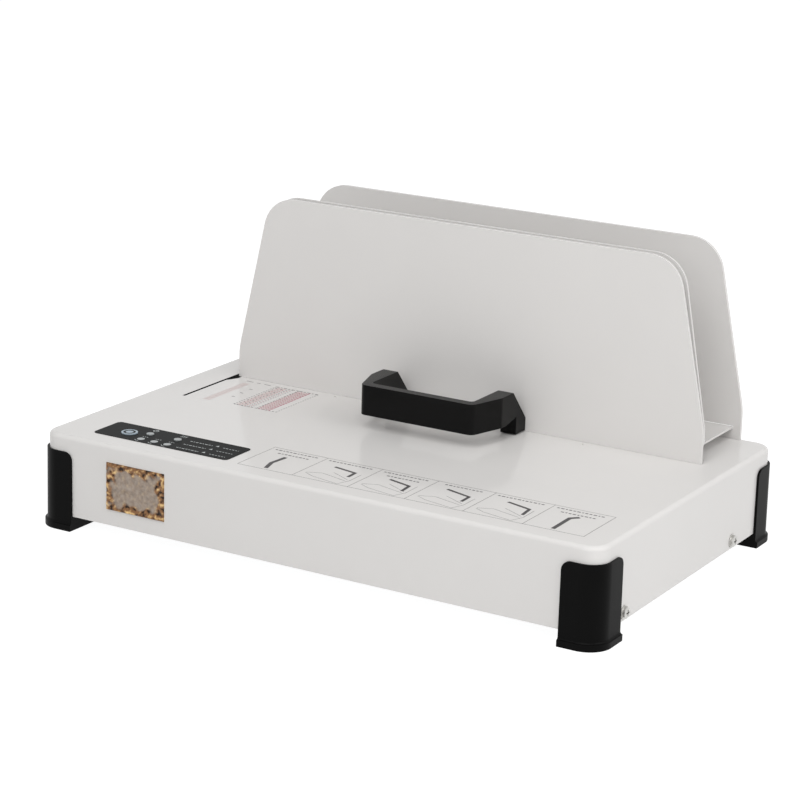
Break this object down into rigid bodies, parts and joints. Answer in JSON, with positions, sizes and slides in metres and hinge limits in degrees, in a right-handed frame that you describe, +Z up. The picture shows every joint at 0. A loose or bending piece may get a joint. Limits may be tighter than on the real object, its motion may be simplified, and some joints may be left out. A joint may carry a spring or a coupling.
{
  "type": "thermal binding machine",
  "caption": "Desktop thermal binding machine: white sheet-metal housing on black corner feet, fixed rear plate, sliding front plate with black handle and heated trough floor.",
  "frame": {"origin": "on the table, under the middle of the housing and of the feet", "axes": "+X along the plates towards the operator's right, +Y towards the back, +Z up"},
  "size_m": [0.4272, 0.2712, 0.2025],
  "materials": {
    "white_powder_coat": "smooth glossy white powder coat",
    "zinc_sheet": "zinc-plated sheet",
    "foot_plastic": "moulded black plastic, fine satin",
    "screw_steel": "nickel-plated steel",
    "handle_plastic": "moulded black nylon, satin",
    "hot_plate_aluminium": "milled",
    "silicone_mat": "matte",
    "cutout_case": "ceramic-filled case",
    "black_plastic": "moulded",
    "bush_bronze": "sintered",
    "ground_rod": "ground and polished",
    "bracket_aluminium": "dark anodised",
    "film": "printed polyester film",
    "key_plastic": "satin",
    "lamp_plastic": "clear frosted",
    "circuit_board": "solder mask",
    "spacer_nylon": "natural nylon",
    "transformer_tape": "tape and core",
    "rocker_plastic": "polished",
    "badge_metal": "bronze-coloured pressed metal"
  },
  "bodies": {
    "base": {"top_housing": "white_powder_coat", "rear_plate": "white_powder_coat", "base_tray": "zinc_sheet", "foot_front_left": "foot_plastic", "foot_front_right": "foot_plastic", "foot_rear_left": "foot_plastic", "foot_rear_right": "foot_plastic", "foot_screws": "screw_steel", "side_screws": "screw_steel", "side_washers": "screw_steel", "rear_plate_screws": "screw_steel", "bracket_screws": "screw_steel", "key_switches": "black_plastic", "buzzer": "black_plastic", "mains_inlet": "black_plastic", "rocker_frame": "black_plastic", "heater_relay": "black_plastic", "inlet_pins": "bush_bronze", "guide_rods": "ground_rod", "rod_brackets": "bracket_aluminium", "control_film": "film", "lamp_windows": "lamp_plastic", "indicator_lamps": "lamp_plastic", "control_board": "circuit_board", "power_board": "circuit_board", "board_spacers": "spacer_nylon", "power_spacers": "spacer_nylon", "transformer": "transformer_tape", "badge_plate": "badge_metal"},
    "carriage": {"front_plate": "white_powder_coat", "trough_sheet": "white_powder_coat", "handle": "handle_plastic", "handle_screws": "screw_steel", "hot_plate": "hot_plate_aluminium", "heater_mat": "silicone_mat", "heater_cover": "zinc_sheet", "heater_screws": "screw_steel", "thermal_cutout": "cutout_case", "temperature_sensor": "black_plastic", "carriage_frame": "zinc_sheet", "carriage_nuts": "screw_steel", "guide_bushes": "bush_bronze"},
    "start_key": {"start_key": "key_plastic"},
    "timer_key": {"timer_key": "key_plastic"},
    "heat_key": {"heat_key": "key_plastic"},
    "rocker": {"rocker": "rocker_plastic"}
  },
  "joints": [
    {"name": "carriage_slide", "type": "slide", "parent": "base", "child": "carriage", "axis": [0, 1, 0], "range_m": [0, 0.054]},
    {"name": "start_key_press", "type": "slide", "parent": "base", "child": "start_key", "axis": [0, 0, -1], "range_m": [0, 0.0006], "stiffness_N_per_m": 400, "springref_m": -0.0005},
    {"name": "timer_key_press", "type": "slide", "parent": "base", "child": "timer_key", "axis": [0, 0, -1], "range_m": [0, 0.0006], "stiffness_N_per_m": 400, "springref_m": -0.0005},
    {"name": "heat_key_press", "type": "slide", "parent": "base", "child": "heat_key", "axis": [0, 0, -1], "range_m": [0, 0.0006], "stiffness_N_per_m": 400, "springref_m": -0.0005},
    {"name": "rocker_tilt", "type": "hinge", "parent": "base", "child": "rocker", "pos_m": [-0.104, 0.13, 0.027], "axis": [-1, 0, 0], "range_deg": [0, 20]}
  ]
}
